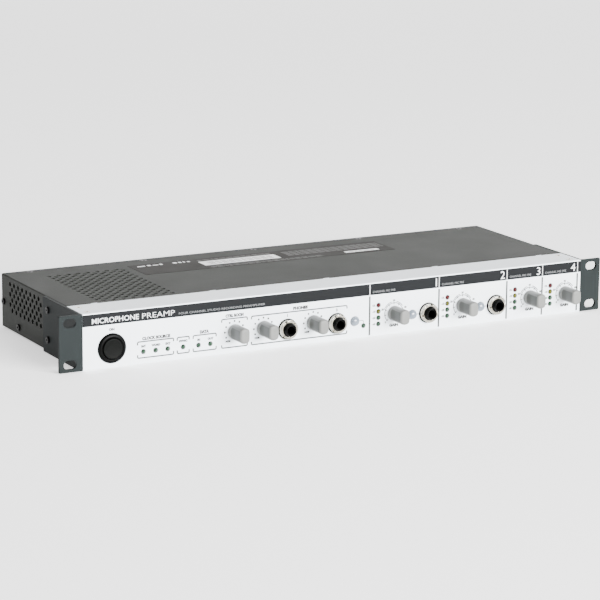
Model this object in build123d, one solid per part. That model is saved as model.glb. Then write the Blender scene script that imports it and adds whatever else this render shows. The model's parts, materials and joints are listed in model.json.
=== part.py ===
"""Four-channel microphone preamp in a one-unit rack case.

Millimetres. +X is right as seen from the front, +Y points to the back and +Z is up.
The origin is the centre of the four rack slots, on the front face of the ears.
"""
from build123d import *
import os

# Case sizes
panel_width = 444.4
panel_height = 43.65
case_depth = 160.0
panel_sheet = 2.0
sheet = 1.2
flange_depth = 29.5
lip_depth = 14.0
case_step = 1.0
panel_rounding = 1.2
joint_gap = 0.5
fit_gap = 0.1

# Rack brackets
ear_width = 19.1
bracket_sheet = 2.5
bracket_height = 43.4
bracket_depth = 70.5
bend_radius = 1.0
ear_rounding = 0.8
wall_screw_edge = 6.0
flange_tab_edge = 4.0
side_return = 12.0
tongue_reach = 8.0
tongue_side_gap = 15.0
slot_inset = 10.35
slot_span = 31.75
slot_length = 10.3
slot_height = 6.8

# Screws: head radius, head height, shank radius
screw_head = 2.8
screw_head_height = 1.3
screw_shank = 1.45
thread_gap = 0.05
flat_head = 2.6
socket_size = 1.0
socket_depth = 0.7
small_head = 1.9
small_shank = 0.95
bracket_screw_margin = 10.3
bracket_screw_span = 23.3
bracket_screw_rise = 1.1
side_screw_margin = 34.8
side_screw_row = -15.0
rear_screw_inset = 3.8
rear_screw_rise = -0.3
top_screw_inset = 5.1
top_screw_side_inset = 22.2
lip_screw_side_inset = 30.0
middle_screw_x = 60.0
floor_screw_margin = 8.0
flange_screw_inset = 6.8
flange_screw_depths = (7.0, 22.8)
dimple_radius = 2.6
dimple_height = 0.4

# Ventilation holes
vent_radius = 1.9
vent_pitch = 8.3
vent_columns = 8
vent_left_inset = 28.9
vent_front = 36.4
vent_rear_margin = 24.0
side_vent_gap = 14.0
side_vent_top = 16.4
side_vent_rows = 6

# Front panel layout
switch_inset = 23.6
switch_row = -6.6
status_insets = (49.5, 59.7, 69.8, 82.7, 95.7, 105.7)
light_row = -12.1
light_pitch = 5.05
knob_row = -4.7
monitor_knob_x = -95.8
phones_knob_x = (-70.8, -27.2)
phones_jack_x = (-49.9, -6.3)
phantom_button_x = 10.0
phantom_light_x = 17.8
button_row = -7.8
jack_row = -7.6
channel_insets = (198.9, 135.4, 71.4, 37.3)
channel_light_step = 8.0
channel_knob_step = 22.1
channel_button_step = 39.1
channel_jack_step = 53.45
channels_with_jack = 2

# Power button
bezel_radius = 11.75
bezel_height = 2.1
bezel_bore = 8.65
bezel_barrel = 10.2
bezel_reach = 12.0
power_radius = 8.0
power_proud = 3.0
power_dish = 0.5
power_edge = 0.8
power_cap_back = 8.0
power_travel = 3.0
power_stem = 3.0
power_stem_back = 22.0
power_terminal = (0.8, 4.8, 6.0)
power_terminal_step = 5.0
slide_gap = 0.1
switch_width = 18.0
switch_height = 16.0
switch_depth = 22.0

# Knobs and potentiometers
knob_radius = 6.0
knob_length = 18.8
knob_gap = 0.6
knob_grip_wall = 0.75
knob_flare = 5.0
knob_edge = 0.9
knob_recess_gap = 0.4
knob_end_wall = 2.8
shaft_radius = 3.0
shaft_flat_step = 0.7
shaft_fit = 0.02
running_gap = 0.06
bushing_wall = 0.5
bushing_reach = 3.4
bushing_end_gap = 0.6
pot_width = 13.0
pot_height = 14.0
pot_nut_wall = 1.0
pot_nut_height = 1.8
nut_notch = 1.2

# Small push buttons
button_base = 3.75
button_tip = 3.0
button_dome = 1.0
button_proud = 3.0
button_back = 4.0
button_gap = 0.25
button_travel = 1.2
button_stem = 3.0
button_stem_back = 9.0
button_switch_size = 9.0
button_switch_front = 6.0

# Lights
light_radius = 1.5
light_proud = 1.7
light_back = 5.0
light_rim = 1.9
light_lead = 0.3
light_gap = 0.05

# Jack sockets
jack_bore = 3.25
jack_nose = 5.7
jack_nose_taper = 1.1
jack_proud = 7.0
jack_body = 15.6
jack_body_depth = 26.0
jack_end_wall = 2.0
jack_nut_wall = 1.9
jack_nut_height = 3.5
jack_washer_rim = 0.7
jack_washer_height = 0.5
jack_notch_width = 1.7
jack_notch_depth = 1.5
jack_notch_angles = (225.0, 225.0, 190.0, 190.0)
jack_hole_gap = 0.15

# Boards inside
front_board_depth = 13.0
board_thickness = 1.6
front_board_height = 32.0
front_board_left_inset = 40.0
front_board_right_inset = 8.0
board_gap = 0.6
board_rise = 5.0
standoff_radius = 2.75
standoff_inset = 5.0
board_front = 36.0
board_rear_margin = 30.0
board_side_inset = 8.0
board_split_inset = 122.2
board_split_gap = 10.0
board_middle_x = 60.0
plug_size = 6.0
plug_height = 8.0
ribbon_ends = (-32.0, -6.0)
ribbon_level = -2.0
ribbon_thickness = 1.0
ribbon_bend = 4.0
ribbon_landing = 8.0

# Parts on the boards: length in x, length in y, height
part_gap = 3.0
transformer_inset = 43.0
transformer_size = (38.0, 30.0, 22.0)
coil_size = (24.0, 38.0, 12.0)
coil_rise = 5.0
capacitor_inset = 25.0
capacitor_pitch = 18.0
capacitor_radius = 7.0
capacitor_height = 22.0
capacitor_count = 4
heatsink_inset = 97.0
heatsink_front = 8.0
heatsink_size = (9.0, 24.0, 22.0)
heatsink_web = 2.0
fin_count = 5
fin_pitch = 4.5
fin_thickness = 1.0
module_size = (28.0, 38.0, 14.0)
module_rear_margin = 12.0
chip_inset = 12.0
chip_pitch = 24.0
chip_count = 3
large_chip = 14.0
small_chip = 8.0
chip_front = 24.0
chip_thickness = 1.6

# Rear panel layout
rear_row = -1.0
mains_inset = 36.0
mains_flange = (31.0, 25.0)
mains_body = (27.0, 20.0)
mains_cavity = (24.2, 16.2)
mains_reach = 24.0
mains_cavity_depth = 18.0
connector_flange = 2.0
pin_size = (2.0, 4.0)
pin_length = 15.0
pin_places = ((-7.0, -2.0), (0.0, 2.0), (7.0, -2.0))
mic_insets = (32.0, 67.0, 102.0, 137.0)
mic_flange = (26.0, 31.0)
mic_body_radius = 11.8
mic_body_depth = 22.0
mic_cavity = 9.6
mic_insert = 7.7
mic_insert_step = 0.5
mic_groove_depth = 12.0
mic_contact_radius = 1.3
mic_contact_circle = 4.4
mic_screw_place = (9.5, 12.0)
line_insets = (176.0, 196.0, 216.0, 236.0)
data_x = (-40.0, -62.0)
data_shell = (16.0, 13.5)
data_cavity = (12.0, 8.6)
data_depth = 18.0
data_cavity_depth = 13.0
clock_x = (-86.0, -108.0)
clock_barrel = 4.8
clock_bore = 4.05
clock_core = 2.4
clock_reach = 11.0
clock_body_depth = 14.0
clock_flange_radius = 7.5
clock_lug = 1.0
hole_gap = 0.2

# Cover label
label_left = -122.0
label_right = 106.5
label_rear_margin = 20.0
label_length = 36.5
label_thickness = 0.15

# Places that follow from the sizes
left_edge = -panel_width / 2
right_edge = panel_width / 2
panel_top = panel_height / 2
panel_bottom = -panel_height / 2
case_bottom = panel_bottom + case_step
floor_top = case_bottom + sheet
cover_under = panel_top - sheet
wall_outside = right_edge - sheet - fit_gap
wall_inside = wall_outside - sheet
rear_inside = case_depth - sheet
board_under = floor_top + board_rise
board_top = board_under + board_thickness
board_back = case_depth - board_rear_margin
board_split = left_edge + board_split_inset
front_board_back = front_board_depth + board_thickness
side_rear_wall = rear_inside - side_return
bracket_screw_depth = bracket_depth - bracket_screw_margin
side_vent_front = bracket_depth + side_vent_gap
bushing_radius = shaft_radius + bushing_wall
shaft_flat = shaft_radius - shaft_flat_step
pot_nut_radius = bushing_radius + pot_nut_wall
knob_recess = pot_nut_radius + knob_recess_gap
knob_recess_end = bushing_reach + bushing_end_gap
knob_grip = shaft_radius + knob_grip_wall
jack_nose_tip = jack_nose - jack_nose_taper
jack_nut_radius = jack_nose + jack_nut_wall
jack_washer_radius = jack_nut_radius + jack_washer_rim
knob_xs = [monitor_knob_x] + list(phones_knob_x)
knob_names = ["control_room_knob", "phones_knob_1", "phones_knob_2"]
channel_starts = [right_edge - inset for inset in channel_insets]
for number, start in enumerate(channel_starts, 1):
    knob_xs.append(start + channel_knob_step)
    knob_names.append(f"gain_knob_{number}")
channel_jack_starts = channel_starts[:channels_with_jack]
jack_xs = list(phones_jack_x) + [start + channel_jack_step for start in channel_jack_starts]
button_xs = [phantom_button_x] + [start + channel_button_step for start in channel_jack_starts]
button_names = ["phantom_button", "channel_button_1", "channel_button_2"]
light_xs = [start + channel_light_step for start in channel_starts]
status_xs = [left_edge + inset for inset in status_insets]
mic_xs = [right_edge - inset for inset in mic_insets]
line_xs = [right_edge - inset for inset in line_insets]
switch_x = left_edge + switch_inset
mains_x = left_edge + mains_inset
top_screw_pitch = (right_edge - top_screw_side_inset) / 2
top_screw_xs = [top_screw_pitch * step for step in (-2, -1, 0, 1, 2)]


# Shapes
def block(x0, x1, y0, y1, z0, z1):
    return Pos((x0 + x1) / 2, (y0 + y1) / 2, (z0 + z1) / 2) * Box(x1 - x0, y1 - y0, z1 - z0)


def bar(x, z, width, height, y0, y1):
    return block(x - width / 2, x + width / 2, y0, y1, z - height / 2, z + height / 2)


def rod(radius, y0, y1, x, z):
    return Pos(x, (y0 + y1) / 2, z) * Rot(90, 0, 0) * Cylinder(radius, y1 - y0)


def post(radius, z0, z1, x, y):
    return Pos(x, y, (z0 + z1) / 2) * Cylinder(radius, z1 - z0)


def cross_rod(radius, x0, x1, y, z):
    return Pos((x0 + x1) / 2, y, z) * Rot(0, 90, 0) * Cylinder(radius, x1 - x0)


def turned(outline, x, z):
    """A solid of revolution: the outline holds radius and depth, and it turns about the Y direction."""
    return Pos(x, 0, z) * revolve(make_face(outline), Axis.Y)


def facing_back(shape, x, z):
    """Turns a piece made at the front plane round to face out of the rear panel."""
    return Pos(x, case_depth, z) * Rot(0, 0, 180) * shape


def group(shapes):
    solids = []
    for shape in shapes:
        solids.extend(shape.solids())
    return Compound(children=solids)


# Screws
def round_screw(head, height, shank, length):
    """A screw along Z with its seat at zero, its head above and its shank below."""
    top = Pos(0, 0, height / 2) * Cylinder(head, height)
    top = fillet(top.edges().group_by(Axis.Z)[-1], height * 0.6)
    socket = extrude(RegularPolygon(socket_size, 6), socket_depth)
    return top + post(shank, -length, 0, 0, 0) - Pos(0, 0, height - socket_depth) * socket


def flat_screw(thickness, shank, length):
    """A countersunk screw along Z, flush at zero, whose cone is as deep as the sheet it holds."""
    cone = Pos(0, 0, -thickness / 2) * Cone(shank, flat_head, thickness)
    socket = extrude(RegularPolygon(socket_size, 6), -socket_depth)
    return cone + post(shank, -length, -thickness, 0, 0) - socket


def flat_hole(thickness, shank):
    return Pos(0, 0, -thickness / 2) * Cone(shank, flat_head, thickness)


def bracket_screw_places():
    for offset in (bracket_screw_span / 2, -bracket_screw_span / 2):
        yield bracket_screw_depth, bracket_screw_rise + offset


def side_screw_places():
    yield case_depth - side_screw_margin, side_screw_row
    yield case_depth - rear_screw_inset, rear_screw_rise


def make_bracket_screws():
    seat = right_edge + bracket_sheet
    screw = round_screw(screw_head, screw_head_height, screw_shank, bracket_sheet + 3 * sheet)
    screws = []
    for y, z in bracket_screw_places():
        screws.append(Pos(seat, y, z) * Rot(0, 90, 0) * screw)
        screws.append(Pos(-seat, y, z) * Rot(0, -90, 0) * screw)
    return group(screws)


def make_cover_side_screws():
    screw = round_screw(screw_head, screw_head_height, screw_shank, 4 * sheet)
    screws = []
    for y, z in side_screw_places():
        screws.append(Pos(right_edge, y, z) * Rot(0, 90, 0) * screw)
        screws.append(Pos(left_edge, y, z) * Rot(0, -90, 0) * screw)
    return group(screws)


def make_cover_rear_screws():
    screw = flat_screw(sheet, screw_shank, 4 * sheet)
    return group([Pos(x, case_depth - top_screw_inset, panel_top) * screw for x in top_screw_xs])


def flange_screw_places():
    for x in (left_edge + flange_screw_inset, right_edge - flange_screw_inset):
        for y in flange_screw_depths:
            yield x, y


def make_flange_screws():
    screw = flat_screw(panel_sheet, screw_shank, panel_sheet + 2 * sheet)
    return group([Pos(x, y, panel_top) * screw for x, y in flange_screw_places()])


def underside_screw_xs():
    side = right_edge - lip_screw_side_inset
    return -side, -middle_screw_x, middle_screw_x, side


def lip_screw_places():
    return [(x, (panel_sheet + lip_depth) / 2) for x in underside_screw_xs()]


def floor_screw_places():
    return [(x, case_depth - floor_screw_margin) for x in underside_screw_xs()]


def make_bottom_screws():
    lip_screw = flat_screw(case_step, screw_shank, case_step + 2 * sheet)
    floor_screw = flat_screw(sheet, screw_shank, 3 * sheet)
    screws = [Pos(x, y, panel_bottom) * Rot(180, 0, 0) * lip_screw for x, y in lip_screw_places()]
    screws += [Pos(x, y, case_bottom) * Rot(180, 0, 0) * floor_screw for x, y in floor_screw_places()]
    return group(screws)


# Case
def panel_holes():
    holes = [rod(bezel_barrel + fit_gap, -1, panel_sheet + 1, switch_x, switch_row)]
    for x in knob_xs:
        holes.append(rod(bushing_radius + fit_gap, -1, panel_sheet + 1, x, knob_row))
    for x in jack_xs:
        holes.append(rod(jack_nose + jack_hole_gap, -1, panel_sheet + 1, x, jack_row))
    for x in button_xs:
        holes.append(rod(button_base + button_gap, -1, panel_sheet + 1, x, button_row))
    for x, z in status_light_places() + meter_light_places(0, 4):
        holes.append(rod(light_radius + light_gap, -1, panel_sheet + 1, x, z))
    return holes


def make_front_panel():
    panel = block(left_edge, right_edge, 0, panel_sheet, panel_bottom, panel_top)
    panel += block(left_edge, right_edge, 0, flange_depth, panel_top - panel_sheet, panel_top)
    panel += block(left_edge, right_edge, 0, lip_depth, panel_bottom, case_bottom)
    panel = fillet(panel.edges().filter_by(Axis.X).group_by(Axis.Y)[0], min(panel_rounding, 0.9 * case_step))
    for x in top_screw_xs:
        dimple = post(dimple_radius, panel_top, panel_top + dimple_height, x, flange_depth)
        panel += dimple & block(x - 5, x + 5, 0, flange_depth, panel_top, panel_top + 1)
    panel -= panel_holes()
    for x, y in flange_screw_places():
        panel -= Pos(x, y, panel_top) * flat_hole(panel_sheet, screw_shank)
    for x, y in lip_screw_places():
        panel -= Pos(x, y, panel_bottom) * Rot(180, 0, 0) * flat_hole(case_step, screw_shank)
    return panel


def top_vents():
    depth = case_depth - vent_rear_margin - vent_front
    rows = int(depth / (vent_pitch / 2)) + 1
    first = left_edge + vent_left_inset
    vents = []
    for row in range(rows):
        shift = vent_pitch / 2 if row % 2 == 0 else 0
        for column in range(vent_columns):
            x = first + shift + column * vent_pitch
            y = vent_front + row * vent_pitch / 2
            vents.append(post(vent_radius, cover_under - 1, panel_top + 1, x, y))
    return vents


def side_vents():
    last = case_depth - 2 * rear_screw_inset - vent_radius - 4
    vents = []
    for row in range(side_vent_rows):
        y = side_vent_front - (vent_pitch / 2 if row % 2 else 0)
        for column in range(vent_columns):
            if y < last:
                z = side_vent_top - row * vent_pitch / 2
                vents.append(cross_rod(vent_radius, left_edge - 1, left_edge + sheet + 1, y, z))
            y += vent_pitch
    return vents


def make_top_cover():
    front = flange_depth + joint_gap
    tongue_top = panel_top - panel_sheet
    side_top = tongue_top - fit_gap
    cover = block(left_edge, right_edge, front, case_depth, cover_under, panel_top)
    for x0, x1 in ((left_edge, left_edge + sheet), (right_edge - sheet, right_edge)):
        cover += block(x0, x1, front, case_depth, case_bottom, cover_under)
        cover += block(x0, x1, panel_sheet + fit_gap, front, case_bottom, side_top)
    corner = cover.edges().filter_by(Axis.Y).group_by(Axis.Z)[-1]
    cover = fillet(corner, 0.8 * sheet)
    tongue_end = left_edge + flange_screw_inset + tongue_side_gap
    cover += block(tongue_end, -tongue_end, front, front + sheet, tongue_top - sheet, cover_under)
    cover += block(tongue_end, -tongue_end, front - tongue_reach, front, tongue_top - sheet, tongue_top)
    cover -= top_vents()
    cover -= side_vents()
    for x in top_screw_xs:
        cover -= Pos(x, case_depth - top_screw_inset, panel_top) * flat_hole(sheet, screw_shank)
    for y, z in list(bracket_screw_places()) + list(side_screw_places()):
        cover -= cross_rod(screw_shank + thread_gap, left_edge - 1, left_edge + sheet + 1, y, z)
        cover -= cross_rod(screw_shank + thread_gap, right_edge - sheet - 1, right_edge + 1, y, z)
    return cover


def make_bottom_chassis():
    tab_top = panel_top - panel_sheet
    tab_back = flange_screw_depths[-1] + flange_tab_edge
    low_wall = side_screw_row + wall_screw_edge
    tall_wall = bracket_screw_rise + bracket_screw_span / 2 + wall_screw_edge
    wall_front = panel_sheet + fit_gap
    chassis = block(-wall_outside, wall_outside, wall_front, case_depth, case_bottom, floor_top)
    for side in (-1, 1):
        x0, x1 = sorted((side * wall_inside, side * wall_outside))
        chassis += block(x0, x1, wall_front, side_rear_wall - fit_gap, floor_top, low_wall)
        chassis += block(x0, x1, wall_front, bracket_screw_depth + wall_screw_edge, low_wall, tall_wall)
        chassis += block(x0, x1, wall_front, tab_back, tall_wall, tab_top)
        tab_inside = wall_outside - flange_screw_inset - wall_screw_edge
        tab0, tab1 = sorted((side * tab_inside, side * wall_outside))
        chassis += block(tab0, tab1, wall_front, tab_back, tab_top - sheet, tab_top)
    for x, y in flange_screw_places():
        chassis -= post(screw_shank + thread_gap, tab_top - sheet - 1, tab_top + 1, x, y)
    for y, z in list(bracket_screw_places()) + list(side_screw_places())[:1]:
        for x in (-wall_outside, wall_outside):
            chassis -= cross_rod(screw_shank + thread_gap, x - 2 * sheet, x + 2 * sheet, y, z)
    for x, y in lip_screw_places():
        chassis -= post(screw_shank + thread_gap, case_bottom - 1, floor_top + 1, x, y)
    for x, y in floor_screw_places():
        chassis -= Pos(x, y, case_bottom) * Rot(180, 0, 0) * flat_hole(sheet, screw_shank)
    return chassis


def rear_openings():
    back = case_depth + 1
    front = rear_inside - 1
    cuts = [bar(mains_x, rear_row, mains_body[0] + hole_gap, mains_body[1] + hole_gap, front, back)]
    for x in mic_xs:
        cuts.append(rod(mic_body_radius + hole_gap, front, back, x, rear_row))
        cuts += [rod(small_shank + thread_gap, front, back, sx, sz) for sx, sz in mic_screw_places(x)]
    for x in line_xs:
        cuts.append(rod(jack_nose + jack_hole_gap, front, back, x, rear_row))
    for x in clock_x:
        cuts.append(rod(clock_barrel + hole_gap, front, back, x, rear_row))
    for x in data_x:
        cuts.append(bar(x, rear_row, data_shell[0] + hole_gap, data_shell[1] + hole_gap, front, back))
    return cuts


def make_rear_panel():
    top = cover_under
    width = wall_outside
    panel = block(-width, width, rear_inside, case_depth, floor_top, top)
    panel += block(-width, width, side_rear_wall, rear_inside, top - sheet, top)
    panel += block(-width, width, side_rear_wall, rear_inside, floor_top, floor_top + sheet)
    for x0, x1 in ((-width, -width + sheet), (width - sheet, width)):
        panel += block(x0, x1, side_rear_wall, rear_inside, floor_top, top)
    panel -= rear_openings()
    for x in top_screw_xs:
        panel -= post(screw_shank + thread_gap, top - 2 * sheet, top + 1, x, case_depth - top_screw_inset)
    for x, y in floor_screw_places():
        panel -= post(screw_shank + thread_gap, floor_top - 1, floor_top + 2 * sheet, x, y)
    for x in (-wall_outside, wall_outside):
        y = case_depth - rear_screw_inset
        panel -= cross_rod(screw_shank + thread_gap, x - 2 * sheet, x + 2 * sheet, y, rear_screw_rise)
    return panel


def make_rack_bracket(side):
    """An angle bracket: the ear faces forward and the leg lies along the case's side."""
    outer = right_edge + ear_width
    half = bracket_height / 2
    bracket = block(right_edge, outer, 0, bracket_sheet, -half, half)
    bracket += block(right_edge, right_edge + bracket_sheet, 0, bracket_depth, -half, half)
    corner = (right_edge + bracket_sheet, bracket_sheet, 0)
    inner_bend = bracket.edges().filter_by(Axis.Z).sort_by_distance(corner)[0]
    bracket = fillet(inner_bend, bend_radius)
    ear_corners = bracket.edges().filter_by(Axis.Y).group_by(Axis.X)[-1]
    bracket = fillet(ear_corners, ear_rounding)
    for z in (-slot_span / 2, slot_span / 2):
        slot = extrude(SlotOverall(slot_length, slot_height), bracket_sheet * 2, both=True)
        bracket -= Pos(right_edge + slot_inset, bracket_sheet / 2, z) * Rot(90, 0, 0) * slot
    for y, z in bracket_screw_places():
        bracket -= cross_rod(screw_shank + thread_gap, right_edge - 1, right_edge + bracket_sheet + 1, y, z)
    return bracket if side > 0 else mirror(bracket, Plane.YZ)


def make_cover_label():
    rear = case_depth - label_rear_margin
    return block(label_left, label_right, rear - label_length, rear, panel_top, panel_top + label_thickness)


# Power button
def make_power_button_bezel():
    shoulder = (0.5 * (bezel_bore + bezel_radius) + 0.5, -0.8 * bezel_height)
    dome = ThreePointArc((bezel_bore, -bezel_height), shoulder, (bezel_radius, 0))
    rest = Polyline((bezel_radius, 0), (bezel_barrel, 0), (bezel_barrel, bezel_reach),
                    (bezel_bore, bezel_reach), (bezel_bore, -bezel_height))
    return turned(dome + rest, switch_x, switch_row)


def make_power_button():
    front = -power_proud
    rim = power_radius - power_edge
    middle = (rim / 2, front + 0.75 * power_dish)
    dish = ThreePointArc((0, front + power_dish), middle, (rim, front))
    edge = RadiusArc((rim, front), (power_radius, front + power_edge), -power_edge)
    rest = Polyline((power_radius, front + power_edge), (power_radius, power_cap_back),
                    (power_stem, power_cap_back), (power_stem, power_stem_back), (0, power_stem_back),
                    (0, front + power_dish))
    return turned(dish + edge + rest, switch_x, switch_row)


def make_power_switch():
    back = bezel_reach + switch_depth
    body = bar(switch_x, switch_row, switch_width, switch_height, bezel_reach, back)
    bore_end = power_stem_back + power_travel + 1
    body -= rod(power_stem + slide_gap, bezel_reach - 1, bore_end, switch_x, switch_row)
    width, height, length = power_terminal
    for step in (-power_terminal_step, power_terminal_step):
        body += bar(switch_x + step, switch_row, width, height, back, back + length)
    return body


# Knobs
def flatted_rod(radius, flat, y0, y1, x, z):
    return rod(radius, y0, y1, x, z) & block(x - radius, x + radius, y0, y1, z - radius, z + flat)


def knob_scoop():
    """The space beside the grip: straight along the grip, then flaring out to the round skirt."""
    face = -knob_length - 1
    outside = knob_radius + 1
    skirt = -knob_recess_end
    grip = skirt - knob_flare
    flare = TangentArc((knob_grip, grip), (knob_radius, skirt), tangent=(0, 1))
    rest = Polyline((knob_radius, skirt), (outside, skirt), (outside, face), (knob_grip, face),
                    (knob_grip, grip))
    return extrude(make_face(flare + rest), outside, both=True)


def make_knob(x):
    knob = rod(knob_radius, -knob_length, -knob_gap, 0, 0)
    scoop = knob_scoop()
    knob -= scoop
    knob -= mirror(scoop, Plane.YZ)
    knob = fillet(knob.faces().sort_by(Axis.Y)[0].edges(), knob_edge)
    knob -= rod(knob_recess, -knob_recess_end, 0, 0, 0)
    bore_end = knob_end_wall - knob_length
    knob -= flatted_rod(shaft_radius + shaft_fit, shaft_flat + shaft_fit, bore_end, -knob_recess_end, 0, 0)
    return Pos(x, 0, knob_row) * knob


def make_shaft(x):
    flat_end = -knob_recess_end
    shaft = rod(shaft_radius, flat_end, front_board_depth - 2.5, x, knob_row)
    return shaft + flatted_rod(shaft_radius, shaft_flat, knob_end_wall - knob_length, flat_end, x, knob_row)


def make_potentiometers():
    pots = []
    for x in knob_xs:
        pot = bar(x, knob_row, pot_width, pot_height, panel_sheet, front_board_depth)
        pot += rod(bushing_radius, -bushing_reach, panel_sheet, x, knob_row)
        pot -= rod(shaft_radius + running_gap, -bushing_reach - 1, front_board_depth - 1.5, x, knob_row)
        pots.append(pot)
    return group(pots)


def make_pot_nuts():
    nuts = []
    for x in knob_xs:
        nut = rod(pot_nut_radius, -pot_nut_height, 0, x, knob_row)
        nut -= bar(x, knob_row, 3 * pot_nut_radius, nut_notch, -pot_nut_height - 1, -pot_nut_height / 2)
        nuts.append(nut - rod(bushing_radius + thread_gap, -pot_nut_height - 1, 1, x, knob_row))
    return group(nuts)


# Small buttons
def make_button(x):
    """A domed cap that narrows from the panel to its tip, with a square stem behind."""
    shoulder = button_dome - button_proud
    cap = TangentArc((0, -button_proud), (button_tip, shoulder), tangent=(1, 0))
    cap += Polyline((button_tip, shoulder), (button_base, 0), (button_base, button_back), (0, button_back),
                    (0, -button_proud))
    stem = bar(x, button_row, button_stem, button_stem, button_back, button_stem_back)
    return turned(cap, x, button_row) + stem


def make_button_switches():
    switches = []
    bore = button_stem + 2 * slide_gap
    for x in button_xs:
        size = button_switch_size
        switch = bar(x, button_row, size, size, button_switch_front, front_board_depth)
        bore_end = button_stem_back + button_travel + 1
        switches.append(switch - bar(x, button_row, bore, bore, button_switch_front - 1, bore_end))
    return group(switches)


# Lights
def status_light_places():
    places = [(x, light_row) for x in status_xs]
    places.append((phantom_light_x, light_row))
    return places


def meter_light_places(first, last):
    """Places of the meter lights from row first up to row last, counted from the bottom."""
    return [(x, light_row + row * light_pitch) for x in light_xs for row in range(first, last)]


def make_lights(places):
    lights = []
    for x, z in places:
        shoulder = light_radius - light_proud
        dome = RadiusArc((0, -light_proud), (light_radius, shoulder), -light_radius)
        rest = Polyline((light_radius, shoulder), (light_radius, panel_sheet), (light_rim, panel_sheet),
                        (light_rim, panel_sheet + 1), (light_radius, panel_sheet + 1),
                        (light_radius, light_back), (0, light_back), (0, -light_proud))
        light = turned(dome + rest, x, z)
        for side in (-0.8, 0.8):
            light += rod(light_lead, light_back, front_board_depth, x + side, z)
        lights.append(light)
    return group(lights)


# Jack sockets
def jack(sheet_held):
    """A quarter-inch socket at the origin, with its mouth facing -Y, held in a sheet."""
    shoulder = -jack_washer_height - jack_nut_height
    tip = -jack_proud
    nose = Polyline((jack_bore + 0.5, tip), (jack_nose_tip - 0.4, tip))
    nose += ThreePointArc((jack_nose_tip - 0.4, tip), (jack_nose_tip - 0.1, tip + 0.15),
                          (jack_nose_tip, tip + 0.5))
    nose += Polyline((jack_nose_tip, tip + 0.5), (jack_nose, shoulder), (jack_nose, sheet_held),
                     (jack_bore, sheet_held), (jack_bore, tip + 0.5), (jack_bore + 0.5, tip))
    end = sheet_held + jack_body_depth
    body = bar(0, 0, jack_body, jack_body, sheet_held, end)
    return turned(nose, 0, 0) + body - rod(jack_bore, sheet_held - 1, end - jack_end_wall, 0, 0)


def jack_nut(notch_angle):
    top = -jack_washer_height - jack_nut_height
    nut = rod(jack_nut_radius, top, -jack_washer_height, 0, 0)
    nut = fillet(nut.edges().group_by(Axis.Y)[0], 0.5)
    nut -= rod(jack_nose + thread_gap, top - 1, 0, 0, 0)
    for angle in (notch_angle, notch_angle + 180):
        notch_floor = jack_nut_radius - jack_notch_depth
        notch = block(notch_floor, jack_nut_radius + 1, top - 1, top + jack_nut_height / 2,
                      -jack_notch_width / 2, jack_notch_width / 2)
        nut -= Rot(0, -angle, 0) * notch
    return nut


def jack_washer():
    washer = rod(jack_washer_radius, -jack_washer_height, 0, 0, 0)
    return washer - rod(jack_nose + thread_gap, -1, 1, 0, 0)


def make_front_jacks():
    return group([Pos(x, 0, jack_row) * jack(panel_sheet) for x in jack_xs])


def make_line_sockets():
    return group([facing_back(jack(sheet), x, rear_row) for x in line_xs])


def make_jack_nuts():
    nuts = [Pos(x, 0, jack_row) * jack_nut(angle) for x, angle in zip(jack_xs, jack_notch_angles)]
    nuts += [facing_back(jack_nut(0), x, rear_row) for x in line_xs]
    return group(nuts)


def make_jack_washers():
    washers = [Pos(x, 0, jack_row) * jack_washer() for x in jack_xs]
    washers += [facing_back(jack_washer(), x, rear_row) for x in line_xs]
    return group(washers)


# Rear connectors
def make_mains_inlet():
    front = case_depth - mains_reach
    outside = case_depth + connector_flange
    inlet = bar(mains_x, rear_row, mains_body[0], mains_body[1], front, case_depth)
    inlet += bar(mains_x, rear_row, mains_flange[0], mains_flange[1], case_depth, outside)
    inlet = fillet(inlet.edges().filter_by(Axis.Y).group_by(SortBy.LENGTH)[0], 1.5)
    floor = outside - mains_cavity_depth
    return inlet - bar(mains_x, rear_row, mains_cavity[0], mains_cavity[1], floor, outside + 1)


def make_mains_pins():
    base = case_depth + connector_flange - mains_cavity_depth
    pins = []
    for x, z in pin_places:
        pins.append(bar(mains_x + x, rear_row + z, pin_size[0], pin_size[1], base, base + pin_length))
    return group(pins)


def mic_screw_places(x):
    step_x, step_z = mic_screw_place
    return [(x - step_x, rear_row + step_z), (x + step_x, rear_row - step_z)]


def make_mic_sockets():
    outside = case_depth + connector_flange
    groove_end = outside - mic_groove_depth
    sockets = []
    for x in mic_xs:
        socket = bar(x, rear_row, mic_flange[0], mic_flange[1], case_depth, outside)
        socket = fillet(socket.edges().filter_by(Axis.Y), 2.5)
        socket += rod(mic_body_radius, case_depth - mic_body_depth, case_depth, x, rear_row)
        socket -= rod(mic_cavity, groove_end, outside + 1, x, rear_row)
        for sx, sz in mic_screw_places(x):
            socket -= rod(small_shank + thread_gap, case_depth - 1, outside + 1, sx, sz)
        sockets.append(socket)
    return group(sockets)


def make_mic_inserts():
    """The round core of each microphone socket, with its three contact holes."""
    outside = case_depth + connector_flange
    groove_end = outside - mic_groove_depth
    inserts = []
    for x in mic_xs:
        insert = rod(mic_insert, groove_end, outside - mic_insert_step, 0, 0)
        for angle in (90, 210, 330):
            hole = rod(mic_contact_radius, groove_end + 1, outside, mic_contact_circle, 0)
            insert -= Rot(0, angle, 0) * hole
        inserts.append(Pos(x, 0, rear_row) * insert)
    return group(inserts)


def make_socket_screws():
    screw = round_screw(small_head, screw_head_height, small_shank, connector_flange + 3 * sheet)
    screws = []
    for x in mic_xs:
        for sx, sz in mic_screw_places(x):
            screws.append(Pos(sx, case_depth + connector_flange, sz) * Rot(-90, 0, 0) * screw)
    return group(screws)


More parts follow.
